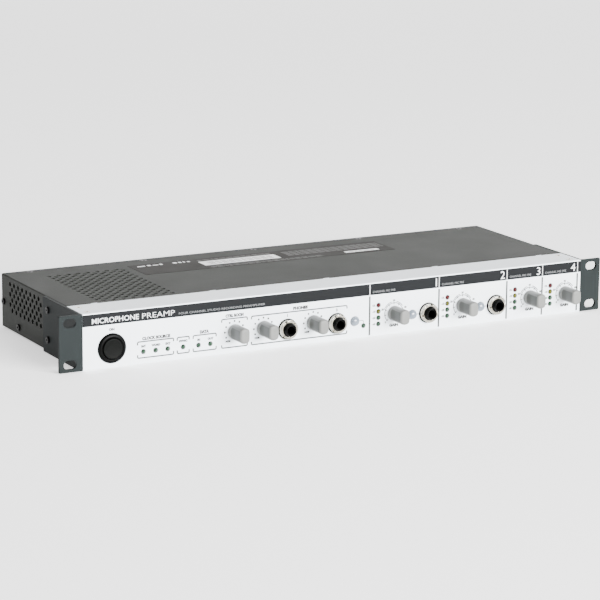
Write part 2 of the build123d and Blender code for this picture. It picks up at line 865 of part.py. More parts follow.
def make_word_clock_sockets():
    tip = case_depth + clock_reach
    sockets = []
    for x in clock_x:
        socket = rod(clock_barrel, case_depth - clock_body_depth, tip, x, rear_row)
        hexagon = extrude(RegularPolygon(clock_flange_radius, 6), connector_flange)
        socket += Pos(x, case_depth, rear_row) * Rot(-90, 0, 0) * hexagon
        socket += bar(x, rear_row, 2 * clock_flange_radius, 2 * clock_flange_radius,
                      case_depth - clock_body_depth, rear_inside)
        reach = clock_barrel + clock_lug
        socket += cross_rod(clock_lug, x - reach, x + reach, tip - 4, rear_row)
        socket -= rod(clock_bore, case_depth, tip + 1, x, rear_row)
        socket += rod(clock_core, case_depth, tip - 2, x, rear_row)
        sockets.append(socket)
    return group(sockets)


def make_data_ports():
    front = case_depth - data_depth
    outside = case_depth + 0.5
    ports = []
    for x in data_x:
        port = bar(x, rear_row, data_shell[0], data_shell[1], front, outside)
        port += bar(x, rear_row, data_shell[0] + 2, data_shell[1] + 2, rear_inside - 1, rear_inside)
        floor = outside - data_cavity_depth
        ports.append(port - bar(x, rear_row, data_cavity[0], data_cavity[1], floor, outside + 1))
    return group(ports)


# Inside
def supply_board_ends():
    return left_edge + board_side_inset, board_split - board_split_gap / 2


def main_board_ends():
    return board_split + board_split_gap / 2, right_edge - board_side_inset


def standoff_places():
    places = []
    ends = list(supply_board_ends())
    ends += list(main_board_ends())
    xs = [end + standoff_inset for end in ends[::2]] + [end - standoff_inset for end in ends[1::2]]
    for x in xs + [board_middle_x]:
        for y in (board_front + standoff_inset, board_back - standoff_inset):
            places.append((x, y))
    return places


def make_board(ends):
    board = block(ends[0], ends[1], board_front, board_back, board_under, board_top)
    for x, y in standoff_places():
        if ends[0] < x < ends[1]:
            board -= post(screw_shank + thread_gap, board_under - 1, board_top + 1, x, y)
    return board


def make_front_board():
    left = left_edge + front_board_left_inset
    right = right_edge - front_board_right_inset
    half = front_board_height / 2
    board = block(left, right, front_board_depth, front_board_back, -half, half)
    size = jack_body + 2 * board_gap
    for x in jack_xs:
        board -= bar(x, jack_row, size, size, front_board_depth - 1, front_board_back + 1)
    return board


def make_board_fixings():
    """A standoff under each board hole and a screw through the board into it."""
    screw = round_screw(screw_head, screw_head_height, screw_shank, board_thickness + board_rise - 2)
    fixings = []
    for x, y in standoff_places():
        standoff = post(standoff_radius, floor_top, board_under, x, y)
        fixings.append(standoff - post(screw_shank + thread_gap, floor_top + 1, board_under + 1, x, y))
        fixings.append(Pos(x, y, board_top) * screw)
    return group(fixings)


def make_ribbon_cable():
    """A flat cable from the front board down to the main board, with a plug at each end."""
    x0, x1 = [board_middle_x + end for end in ribbon_ends]
    landing = board_front + ribbon_landing
    start = front_board_back + plug_size
    bend = landing + plug_size / 2
    half = ribbon_thickness / 2
    front_plug = bar((x0 + x1) / 2, ribbon_level, x1 - x0, plug_height, front_board_back, start)
    main_plug = block(x0, x1, landing, landing + plug_size, board_top, board_top + plug_size)
    upper = FilletPolyline((start, ribbon_level + half), (bend + half, ribbon_level + half),
                           (bend + half, board_top + plug_size), radius=ribbon_bend + half)
    lower = FilletPolyline((bend - half, board_top + plug_size), (bend - half, ribbon_level - half),
                           (start, ribbon_level - half), radius=ribbon_bend - half)
    outline = upper + Line(upper @ 1, lower @ 0) + lower + Line(lower @ 1, upper @ 0)
    strip = extrude(Plane.YZ * make_face(outline), x1 - x0 - 2)
    return group([front_plug, Pos(x0 + 1, 0, 0) * strip, main_plug])


def on_board(x, y, size, rise=0.0):
    """A block of the given size standing on a board, centred at x and y."""
    return Pos(x, y, board_top + rise + size[2] / 2) * Box(*size)


def transformer_middle():
    return board_front + part_gap + coil_size[1] / 2


def make_power_transformer():
    x = left_edge + transformer_inset + transformer_size[0] / 2
    y = transformer_middle()
    core = on_board(x, y, transformer_size)
    core -= on_board(x, y, (coil_size[0], transformer_size[1] + 1, coil_size[2]), coil_rise)
    coil = on_board(x, y, coil_size, coil_rise)
    return core + fillet(coil.edges().filter_by(Axis.Z), 4)


def make_supply_capacitors():
    y = transformer_middle() + coil_size[1] / 2 + part_gap + capacitor_radius
    capacitors = []
    for step in range(capacitor_count):
        x = left_edge + capacitor_inset + capacitor_pitch * step
        can = post(capacitor_radius, board_top, board_top + capacitor_height, x, y)
        capacitors.append(fillet(can.edges().group_by(Axis.Z)[-1], 1.0))
    return group(capacitors)


def make_heatsinks():
    width, length, height = heatsink_size
    x = left_edge + heatsink_inset
    sinks = []
    for step in range(2):
        y = board_front + heatsink_front + step * (length + 4)
        sink = block(x, x + heatsink_web, y, y + length, board_top, board_top + height)
        for fin in range(fin_count):
            rise = board_top + 2 + fin_pitch * fin
            sink += block(x + heatsink_web, x + width, y, y + length, rise, rise + fin_thickness)
        sinks.append(sink)
    return group(sinks)


def make_preamp_modules():
    y = board_back - module_rear_margin - module_size[1] / 2
    cans = [on_board(x, y, module_size) for x in mic_xs]
    return group([fillet(can.edges().filter_by(Axis.Z), 1.5) for can in cans])


def make_chips():
    first = main_board_ends()[0] + chip_inset + large_chip / 2
    y = board_front + chip_front + large_chip / 2
    chips = []
    for step in range(chip_count):
        x = first + chip_pitch * step
        chips.append(on_board(x, y, (large_chip, large_chip, chip_thickness)))
        chips.append(on_board(x, y + large_chip + small_chip / 2, (small_chip, small_chip, chip_thickness)))
    return group(chips)


# Output
def all_parts():
    parts = {
        "front_panel": make_front_panel(),
        "top_cover": make_top_cover(),
        "bottom_chassis": make_bottom_chassis(),
        "rear_panel": make_rear_panel(),
        "left_rack_bracket": make_rack_bracket(-1),
        "right_rack_bracket": make_rack_bracket(1),
        "bracket_screws": make_bracket_screws(),
        "cover_side_screws": make_cover_side_screws(),
        "cover_rear_screws": make_cover_rear_screws(),
        "flange_screws": make_flange_screws(),
        "bottom_screws": make_bottom_screws(),
        "cover_label": make_cover_label(),
        "power_button_bezel": make_power_button_bezel(),
        "power_button": make_power_button(),
        "power_switch": make_power_switch(),
        "potentiometers": make_potentiometers(),
        "pot_nuts": make_pot_nuts(),
        "button_switches": make_button_switches(),
        "status_lights": make_lights(status_light_places()),
        "level_lights_low": make_lights(meter_light_places(0, 2)),
        "level_lights_high": make_lights(meter_light_places(2, 3)),
        "overload_lights": make_lights(meter_light_places(3, 4)),
        "front_jacks": make_front_jacks(),
        "jack_nuts": make_jack_nuts(),
        "jack_washers": make_jack_washers(),
        "line_sockets": make_line_sockets(),
        "mains_inlet": make_mains_inlet(),
        "mains_pins": make_mains_pins(),
        "mic_sockets": make_mic_sockets(),
        "mic_inserts": make_mic_inserts(),
        "socket_screws": make_socket_screws(),
        "word_clock_sockets": make_word_clock_sockets(),
        "data_ports": make_data_ports(),
        "front_board": make_front_board(),
        "main_board": make_board(main_board_ends()),
        "power_supply_board": make_board(supply_board_ends()),
        "board_fixings": make_board_fixings(),
        "ribbon_cable": make_ribbon_cable(),
        "power_transformer": make_power_transformer(),
        "supply_capacitors": make_supply_capacitors(),
        "heatsinks": make_heatsinks(),
        "preamp_modules": make_preamp_modules(),
        "chips": make_chips(),
    }
    for name, x in zip(knob_names, knob_xs):
        parts[name] = make_knob(x)
        parts[name.replace("knob", "shaft")] = make_shaft(x)
    for name, x in zip(button_names, button_xs):
        parts[name] = make_button(x)
    return parts


os.makedirs("parts", exist_ok=True)
for name, shape in all_parts().items():
    export_step(shape, f"parts/{name}.step")
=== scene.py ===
import bpy
import bmesh
import json
import math
from mathutils import Euler, Matrix, Vector


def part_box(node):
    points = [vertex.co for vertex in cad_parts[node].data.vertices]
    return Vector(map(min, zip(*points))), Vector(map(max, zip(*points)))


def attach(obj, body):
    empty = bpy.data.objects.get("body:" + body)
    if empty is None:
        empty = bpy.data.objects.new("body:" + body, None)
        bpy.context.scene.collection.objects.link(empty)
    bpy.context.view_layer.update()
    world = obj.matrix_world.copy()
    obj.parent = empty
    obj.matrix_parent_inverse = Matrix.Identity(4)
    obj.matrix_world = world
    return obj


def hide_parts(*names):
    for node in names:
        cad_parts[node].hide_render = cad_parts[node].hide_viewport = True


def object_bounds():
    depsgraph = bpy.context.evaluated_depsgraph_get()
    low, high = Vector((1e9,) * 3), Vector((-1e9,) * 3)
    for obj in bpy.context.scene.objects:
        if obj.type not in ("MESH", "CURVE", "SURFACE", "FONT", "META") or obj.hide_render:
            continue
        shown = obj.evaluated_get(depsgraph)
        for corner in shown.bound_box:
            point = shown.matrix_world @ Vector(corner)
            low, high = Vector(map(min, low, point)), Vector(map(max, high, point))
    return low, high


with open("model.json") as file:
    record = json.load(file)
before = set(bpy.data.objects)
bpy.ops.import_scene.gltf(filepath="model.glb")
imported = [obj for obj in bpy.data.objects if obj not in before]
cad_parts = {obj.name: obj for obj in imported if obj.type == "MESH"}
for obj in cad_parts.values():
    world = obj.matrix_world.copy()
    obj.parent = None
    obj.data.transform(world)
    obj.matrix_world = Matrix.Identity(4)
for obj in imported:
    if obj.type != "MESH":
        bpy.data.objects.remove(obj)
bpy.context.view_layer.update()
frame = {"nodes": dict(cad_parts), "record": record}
mm = 0.001
record = frame["record"]
slotOf = {entry["node"]: entry["material_slot"] for entry in record["subparts"]}
bodyOf = {node: body for body, nodes in record["behaviour"]["bodies"].items() for node in nodes}
panelLow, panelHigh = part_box("front_panel")
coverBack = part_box("top_cover")[1].y
print("frame loaded:", len(frame["nodes"]), "nodes")


# Shader helpers: a Value is a socket that takes part in Python sums
class Value:
    def __init__(self, look, socket):
        self.look = look
        self.socket = socket

    def maths(self, operation, first, second):
        return self.look.add("ShaderNodeMath", {"operation": operation}, {0: first, 1: second})

    def __add__(self, other):
        return self.maths("ADD", self, other)

    def __radd__(self, other):
        return self.maths("ADD", other, self)

    def __sub__(self, other):
        return self.maths("SUBTRACT", self, other)

    def __rsub__(self, other):
        return self.maths("SUBTRACT", other, self)

    def __mul__(self, other):
        return self.maths("MULTIPLY", self, other)

    def __rmul__(self, other):
        return self.maths("MULTIPLY", other, self)

    def __gt__(self, level):
        return self.maths("GREATER_THAN", self, level)


def opaque(value):
    # a colour given as three numbers gets its alpha, and a link is left as it is
    return (*value, 1) if isinstance(value, tuple) else value


class Look:
    def __init__(self, name, metallic=0.0, specular=0.5, coat=0.0, coatRoughness=0.1):
        self.material = bpy.data.materials.new(name)
        self.material.use_nodes = True
        self.nodes = self.material.node_tree.nodes
        self.links = self.material.node_tree.links
        self.shader = self.nodes["Principled BSDF"]
        self.shader.inputs["Metallic"].default_value = metallic
        self.shader.inputs["Specular IOR Level"].default_value = specular
        self.shader.inputs["Coat Weight"].default_value = coat
        self.shader.inputs["Coat Roughness"].default_value = coatRoughness
        self.place = self.add("ShaderNodeTexCoord", output="Object")

    def feed(self, socket, value):
        if isinstance(value, Value):
            self.links.new(value.socket, socket)
        else:
            socket.default_value = value

    def add(self, kind, settings=None, inputs=None, output=0):
        node = self.nodes.new(kind)
        for key, value in (settings or {}).items():
            setattr(node, key, value)
        for key, value in (inputs or {}).items():
            self.feed(node.inputs[key], value)
        return Value(self, node.outputs[output])

    def noise(self, scale, detail=2.0, stretch=(1, 1, 1)):
        place = self.place
        if stretch != (1, 1, 1):
            place = self.add("ShaderNodeMapping", None, {"Vector": place, "Scale": stretch})
        return self.add("ShaderNodeTexNoise", None, {"Vector": place, "Scale": scale, "Detail": detail})

    def mix(self, mask, first, second):
        settings = {"data_type": "RGBA", "clamp_factor": True}
        return self.add("ShaderNodeMix", settings, {0: mask, 6: opaque(first), 7: opaque(second)}, 2)

    def bump(self, height, distance, strength):
        inputs = {"Strength": strength, "Distance": distance, "Height": height}
        self.feed(self.shader.inputs["Normal"], self.add("ShaderNodeBump", None, inputs))

    def colour(self, value):
        self.feed(self.shader.inputs["Base Color"], value)

    def rough(self, value):
        self.feed(self.shader.inputs["Roughness"], value)


def paintedMetal(name, values):
    look = Look(name, values["metallic"], values["specular"])
    cloud = look.noise(values["cloudScale"], 3)
    grain = look.noise(values["grainScale"], 2)
    flake = look.noise(values["flakeScale"], 1)
    tone = look.mix(cloud, values["dark"], values["light"])
    flakeMask = (flake - values["flakeLevel"]) * 6
    look.colour(look.mix(flakeMask, tone, values["flake"]))
    look.rough(values["rough"] + (cloud - 0.5) * 0.12 + (grain - 0.5) * 0.1)
    look.bump(grain, values["grainDepth"], values["grainStrength"])
    return look.material


def plastic(name, values):
    look = Look(name, 0.0, values["specular"], values["coat"], 0.15)
    cloud = look.noise(60, 3)
    grain = look.noise(values["grainScale"], 2)
    scuff = look.noise(220, 4, (1, 1, 6))
    tone = look.mix(cloud, values["dark"], values["light"])
    # painted shade: the marked scooped sides get a darker colour that stands in for the shade in the recess
    if "paintedShade" in values:  # a darker tone where the mesh says that the surface is scooped out
        mask = look.add("ShaderNodeAttribute", {"attribute_name": "paintedShade"}, output=2)
        tone = look.mix(mask * (1 - grain * 0.2), tone, values["paintedShade"])
    look.colour(tone)
    look.rough(values["rough"] + (grain - 0.5) * 0.14 + (scuff - 0.5) * 0.1)
    look.bump(grain, values["grainDepth"], 0.5)
    return look.material


def metal(name, values):
    look = Look(name, 1.0)
    scratch = look.noise(values["scratchScale"], 4, values["scratchStretch"])
    cloud = look.noise(150, 2)
    look.colour(look.mix(cloud, values["dark"], values["light"]))
    look.rough(values["rough"] + (scratch - 0.5) * values["roughSpread"] + (cloud - 0.5) * 0.08)
    look.bump(scratch, values["scratchDepth"], 0.4)
    return look.material


def lightLens(name, tint, deep):
    look = Look(name, 0.0, 0.25, 0.25, 0.08)
    depth = look.noise(900, 2)
    look.colour(look.mix(depth, deep, tint))
    look.rough(0.16 + (depth - 0.5) * 0.08)
    return look.material


def ink(name, fresh, worn):
    look = Look(name)
    grain = look.noise(2500, 2)
    look.colour(look.mix((grain - 0.35) * 1.4, fresh, worn))
    look.rough(0.5 + (grain - 0.5) * 0.2)
    look.bump(grain, 0.000008, 0.3)
    return look.material


def circuitBoard(name, green, track, pad):
    look = Look(name)
    cells = {"Vector": look.place, "Scale": 420}
    cell = look.add("ShaderNodeTexVoronoi", {"feature": "DISTANCE_TO_EDGE"}, cells)
    pads = look.add("ShaderNodeTexVoronoi", None, {"Vector": look.place, "Scale": 180})
    tracks = look.mix(cell > 0.12, track, green)
    look.colour(look.mix(pads > 0.12, pad, tracks))
    look.rough(0.32 + cell * 0.3)
    look.bump(cell, 0.00005, 0.4)
    return look.material


silverPaint = paintedMetal("silverPaint", {
    "metallic": 0.1, "specular": 0.4, "rough": 0.4,
    "dark": (0.80, 0.85, 0.89), "light": (0.85, 0.895, 0.93), "flake": (0.91, 0.945, 0.97),
    "flakeLevel": 0.58, "cloudScale": 14, "grainScale": 1400, "flakeScale": 5200,
    "grainDepth": 0.000015, "grainStrength": 0.4})
coverCoat = paintedMetal("coverCoat", {
    "metallic": 0.0, "specular": 0.12, "rough": 0.55,
    "dark": (0.0150, 0.0165, 0.0140), "light": (0.0185, 0.0200, 0.0172), "flake": (0.027, 0.029, 0.0255),
    "flakeLevel": 0.6, "cloudScale": 22, "grainScale": 1700, "flakeScale": 2600,
    "grainDepth": 0.00006, "grainStrength": 0.7})
bracketCoat = paintedMetal("bracketCoat", {
    "metallic": 0.0, "specular": 0.05, "rough": 0.5,
    "dark": (0.0105, 0.0132, 0.0134), "light": (0.0130, 0.0160, 0.0162), "flake": (0.0185, 0.0222, 0.0225),
    "flakeLevel": 0.6, "cloudScale": 30, "grainScale": 1900, "flakeScale": 3000,
    "grainDepth": 0.00005, "grainStrength": 0.6})
bandCoat = paintedMetal("bandCoat", {
    "metallic": 0.0, "specular": 0.04, "rough": 0.5,
    "dark": (0.0078, 0.0086, 0.0092), "light": (0.0094, 0.0103, 0.0110), "flake": (0.0130, 0.0140, 0.0149),
    "flakeLevel": 0.62, "cloudScale": 25, "grainScale": 2300, "flakeScale": 3600,
    "grainDepth": 0.00002, "grainStrength": 0.4})
labelVinyl = paintedMetal("labelVinyl", {
    "metallic": 0.0, "specular": 0.05, "rough": 0.5,
    "dark": (0.0075, 0.0062, 0.0046), "light": (0.0095, 0.0078, 0.0058), "flake": (0.013, 0.0108, 0.0082),
    "flakeLevel": 0.6, "cloudScale": 40, "grainScale": 900, "flakeScale": 2500,
    "grainDepth": 0.00002, "grainStrength": 0.3})
knobPlastic = plastic("knobPlastic", {
    # the third colour is painted shade for the knob's scooped sides
    "dark": (0.125, 0.127, 0.120), "light": (0.145, 0.147, 0.139), "paintedShade": (0.042, 0.043, 0.039),
    "rough": 0.42, "specular": 0.35, "coat": 0.0, "grainScale": 1500, "grainDepth": 0.00002})
blackPlastic = plastic("blackPlastic", {
    "dark": (0.0008, 0.0009, 0.0008), "light": (0.0014, 0.0015, 0.0014),
    "rough": 0.36, "specular": 0.05, "coat": 0.0, "grainScale": 1600, "grainDepth": 0.00002})
buttonBlack = plastic("buttonBlack", {
    "dark": (0.0022, 0.0025, 0.0022), "light": (0.0031, 0.0034, 0.0031),
    "rough": 0.5, "specular": 0.04, "coat": 0.0, "grainScale": 2200, "grainDepth": 0.00003})
buttonPlastic = plastic("buttonPlastic", {
    "dark": (0.105, 0.130, 0.160), "light": (0.145, 0.170, 0.205),
    "rough": 0.22, "specular": 0.5, "coat": 0.5, "grainScale": 1200, "grainDepth": 0.00001})
greyPlastic = plastic("greyPlastic", {
    "dark": (0.06, 0.063, 0.066), "light": (0.085, 0.088, 0.092),
    "rough": 0.5, "specular": 0.5, "coat": 0.0, "grainScale": 1200, "grainDepth": 0.00002})
nickel = metal("nickel", {
    "dark": (0.28, 0.265, 0.225), "light": (0.48, 0.455, 0.39), "rough": 0.17, "roughSpread": 0.2,
    "scratchScale": 1400, "scratchStretch": (1, 5, 1), "scratchDepth": 0.000008})
brightSteel = metal("brightSteel", {
    "dark": (0.72, 0.73, 0.74), "light": (0.84, 0.85, 0.86), "rough": 0.26, "roughSpread": 0.2,
    "scratchScale": 1200, "scratchStretch": (1, 1, 3), "scratchDepth": 0.00001})
blackSteel = metal("blackSteel", {
    "dark": (0.006, 0.006, 0.0065), "light": (0.012, 0.012, 0.0125), "rough": 0.4, "roughSpread": 0.2,
    "scratchScale": 1500, "scratchStretch": (1, 1, 3), "scratchDepth": 0.00001})
aluminium = metal("aluminium", {
    "dark": (0.66, 0.67, 0.68), "light": (0.76, 0.77, 0.78), "rough": 0.35, "roughSpread": 0.3,
    "scratchScale": 700, "scratchStretch": (1, 6, 1), "scratchDepth": 0.00001})
winding = metal("winding", {
    "dark": (0.40, 0.20, 0.07), "light": (0.55, 0.30, 0.10), "rough": 0.45, "roughSpread": 0.2,
    "scratchScale": 500, "scratchStretch": (1, 1, 8), "scratchDepth": 0.00003})
greenLens = lightLens("greenLens", (0.012, 0.042, 0.018), (0.005, 0.022, 0.009))
yellowLens = lightLens("yellowLens", (0.085, 0.082, 0.006), (0.045, 0.045, 0.003))
redLens = lightLens("redLens", (0.060, 0.0012, 0.0025), (0.028, 0.0006, 0.001))
darkInk = ink("darkInk", (0.001, 0.0011, 0.0013), (0.0025, 0.0026, 0.003))
lineInk = ink("lineInk", (0.006, 0.0064, 0.007), (0.011, 0.0115, 0.012))
lightInk = ink("lightInk", (0.70, 0.71, 0.72), (0.56, 0.58, 0.60))
dimInk = ink("dimInk", (0.15, 0.155, 0.16), (0.11, 0.115, 0.12))
whiteInk = ink("whiteInk", (0.90, 0.90, 0.90), (0.82, 0.82, 0.82))
greyInk = ink("greyInk", (0.055, 0.055, 0.052), (0.04, 0.04, 0.038))
boardGreen = circuitBoard("boardGreen", (0.012, 0.075, 0.03), (0.03, 0.14, 0.06), (0.62, 0.60, 0.52))
print("materials made:", len(bpy.data.materials))

lookOf = {
    "silver_paint": silverPaint, "charcoal_paint": coverCoat, "bracket_paint": bracketCoat,
    "black_steel": blackSteel, "bright_steel": brightSteel, "nickel": nickel, "black_plastic": blackPlastic,
    "knob_plastic": knobPlastic, "button_plastic": buttonPlastic, "green_lens": greenLens,
    "yellow_lens": yellowLens, "red_lens": redLens, "board_green": boardGreen, "winding": winding,
    "aluminium_part": aluminium, "label_vinyl": labelVinyl, "grey_plastic": greyPlastic}
for node, item in frame["nodes"].items():
    for place in item.material_slots:
        place.material = lookOf[slotOf[node]]

# Finished copies of CAD parts: joined faces, smooth curves and small rounded edges, sizes in millimetres
edgeSizes = {
    "front_panel": 0.25, "top_cover": 0.12, "bottom_chassis": 0.12, "rear_panel": 0.12,
    "left_rack_bracket": 0.3, "right_rack_bracket": 0.3, "power_button_bezel": 0.12, "power_button": 0.12,
    "channel_button_1": 0.1, "channel_button_2": 0.1, "phantom_button": 0.1,
    "front_jacks": 0.1, "line_sockets": 0.1, "mains_inlet": 0.1, "mic_sockets": 0.1,
    "word_clock_sockets": 0.1, "data_ports": 0.1, "jack_nuts": 0.08, "jack_washers": 0.08, "mains_pins": 0.08,
    "bracket_screws": 0.05, "cover_side_screws": 0.05, "cover_rear_screws": 0.05, "bottom_screws": 0.05,
    "socket_screws": 0.05, "flange_screws": 0.05, "status_lights": 0, "level_lights_low": 0,
    "level_lights_high": 0, "overload_lights": 0, "cover_label": 0.05}
ownLook = {"power_button": buttonBlack, "power_button_bezel": blackPlastic, "flange_screws": nickel}
finishing = {"mergeDistance": 0.002, "flatAngle": 0.6, "sharpAngle": 28, "segments": 2}


def refine(node, bevel):
    mesh = frame["nodes"][node].data.copy()
    if "custom_normal" in mesh.attributes:
        mesh.attributes.remove(mesh.attributes["custom_normal"])
    sharp = math.radians(finishing["sharpAngle"])
    work = bmesh.new()
    work.from_mesh(mesh)
    bmesh.ops.remove_doubles(work, verts=work.verts, dist=finishing["mergeDistance"] * mm)
    bmesh.ops.dissolve_limit(work, angle_limit=math.radians(finishing["flatAngle"]),
                             verts=work.verts, edges=work.edges)
    for face in work.faces:
        face.smooth = True
        face.material_index = 0
    for edge in work.edges:
        edge.smooth = not edge.is_manifold or edge.calc_face_angle(0) < sharp
    work.to_mesh(mesh)
    work.free()
    mesh.materials.clear()
    mesh.materials.append(ownLook.get(node, lookOf[slotOf[node]]))
    piece = bpy.data.objects.new("fine_" + node, mesh)
    bpy.context.scene.collection.objects.link(piece)
    if bevel:
        edge = piece.modifiers.new("edge", "BEVEL")
        edge.width = bevel * mm
        edge.segments = finishing["segments"]
        edge.limit_method = "ANGLE"
        edge.angle_limit = sharp
        edge.use_clamp_overlap = False
        edge.harden_normals = True
    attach(piece, bodyOf[node])
    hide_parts(node)


for node, bevel in edgeSizes.items():
    refine(node, bevel)

# A knob: a round skirt that flares into a flat grip with soft corners, sizes in millimetres
knobSizes = {
    "grip": 4.15, "skirtEnd": 4.0, "flareStart": 9.4, "corner": 9, "edge": 1.7, "edgeSteps": 8, "sides": 72,
    "skirtEdge": 0.3, "levels": (2.0, 3.0, 3.8, 4.02, 4.3, 4.8, 5.4, 6.1, 6.9, 7.7, 8.4, 9.0, 11.0, 14.0),
    "dish": 0.1, "dishShares": (0.66, 0.33), "recessWall": 1.1, "recessEnd": 4.0, "sharpAngle": 40,
    # where the painted shade lies on the flared sides of the grip
    "shadeStart": 4.2, "shadeHeight": 0.72, "shadeInner": 0.9, "shadeOuter": 0.93}


def knobHalfWidth(depth, radius):
    # half the width across the grip at a distance in front of the panel
    grip, start, end = knobSizes["grip"], knobSizes["flareStart"], knobSizes["skirtEnd"]
    if depth <= end:
        return radius * 4
    if depth >= start:
        return grip
    bend = ((start - end) ** 2 + (radius - grip) ** 2) / (2 * (radius - grip))
    return grip + bend - math.sqrt(bend ** 2 - (start - depth) ** 2)


def joinRings(work, lower, upper):
    count = len(lower)
    for side in range(count):
        after = (side + 1) % count
        work.faces.new((lower[side], lower[after], upper[after], upper[side]))


def closeRing(work, ring, tip):
    count = len(ring)
    for side in range(count):
        work.faces.new((ring[side], ring[(side + 1) % count], tip))


def knobRing(work, middle, radius, depth, inset):
    # the outline at one depth: a circle cut by the grip's two flats, with soft corners between them
    corner, sides = knobSizes["corner"], knobSizes["sides"]
    width = knobHalfWidth(depth, radius)
    shrinkX = 1 - inset / min(width, radius)
    shrinkZ = 1 - inset / radius
    ring = []
    for side in range(sides):
        angle = 2 * math.pi * side / sides
        flat = width / max(abs(math.cos(angle)), 1e-6)
        reach = (radius ** -corner + flat ** -corner) ** (-1 / corner)
        x, z = reach * math.cos(angle) * shrinkX, reach * math.sin(angle) * shrinkZ
        ring.append(work.verts.new((middle.x + x * mm, -depth * mm, middle.z + z * mm)))
    return ring


def circleRing(work, middle, radius, depth):
    turns = [2 * math.pi * side / knobSizes["sides"] for side in range(knobSizes["sides"])]
    return [work.verts.new((middle.x + radius * math.cos(turn) * mm, -depth * mm,
                            middle.z + radius * math.sin(turn) * mm)) for turn in turns]


def markHollow(mesh, middle, radius, length):
    # painted shade: the flared sides are marked for a darker colour that stands in for the shade in the
    # scoop, kept as a value on each point
    paintedShade = mesh.attributes.new("paintedShade", "FLOAT", "POINT")
    inner, outer = knobSizes["grip"] * knobSizes["shadeInner"], radius * knobSizes["shadeOuter"]
    for vertex, item in zip(mesh.vertices, paintedShade.data):
        across = abs(vertex.co.x - middle.x) / mm
        height = abs(vertex.co.z - middle.z) / mm
        onSide = inner < across < outer and height < radius * knobSizes["shadeHeight"]
        onFlare = knobSizes["shadeStart"] < -vertex.co.y / mm < length - knobSizes["edge"]
        item.value = 1.0 if onSide and onFlare else 0.0


def makeKnob(node):
    low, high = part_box(node)
    middle = (low + high) / 2
    radius = (high.z - low.z) / 2 / mm
    length = -low.y / mm
    back = -high.y / mm
    edge, skirtEdge, dish = knobSizes["edge"], knobSizes["skirtEdge"], knobSizes["dish"]
    levels = [(back, skirtEdge), (back + skirtEdge, 0.0)] + [(depth, 0.0) for depth in knobSizes["levels"]]
    for step in range(knobSizes["edgeSteps"] + 1):
        angle = math.radians(90 * step / knobSizes["edgeSteps"])
        levels.append((length - edge + edge * math.sin(angle), edge * (1 - math.cos(angle))))
    work = bmesh.new()
    rings = [knobRing(work, middle, radius, depth, inset) for depth, inset in levels]
    rim = rings[-1]
    for share in knobSizes["dishShares"]:
        rings.append([work.verts.new((middle.x + (vertex.co.x - middle.x) * share,
                                      (-length + dish * (1 - share ** 2)) * mm,
                                      middle.z + (vertex.co.z - middle.z) * share)) for vertex in rim])
    for lower, upper in zip(rings, rings[1:]):
        joinRings(work, lower, upper)
    closeRing(work, rings[-1], work.verts.new((middle.x, (-length + dish) * mm, middle.z)))
    # the recess that clears the nut, seen when the knob is looked at from behind
    inside = radius - knobSizes["recessWall"]
    mouth = circleRing(work, middle, inside, back)
    end = circleRing(work, middle, inside, knobSizes["recessEnd"])
    joinRings(work, rings[0], mouth)
    joinRings(work, mouth, end)
    closeRing(work, end, work.verts.new((middle.x, -knobSizes["recessEnd"] * mm, middle.z)))
    bmesh.ops.recalc_face_normals(work, faces=work.faces)
    for face in work.faces:
        face.smooth = True
    for line in work.edges:
        line.smooth = line.calc_face_angle(0) < math.radians(knobSizes["sharpAngle"])
    mesh = bpy.data.meshes.new("fine_" + node)
    work.to_mesh(mesh)
    work.free()
    markHollow(mesh, middle, radius, length)
    mesh.materials.append(knobPlastic)
    piece = bpy.data.objects.new("fine_" + node, mesh)
    bpy.context.scene.collection.objects.link(piece)
    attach(piece, bodyOf[node])
    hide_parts(node)


for node in frame["nodes"]:
    if "knob" in node:
        makeKnob(node)
print("CAD parts finished")

# Flat printed artwork, built as thin closed shapes on a sheet's face
cornerSteps = 5
mitreLimit = 0.3


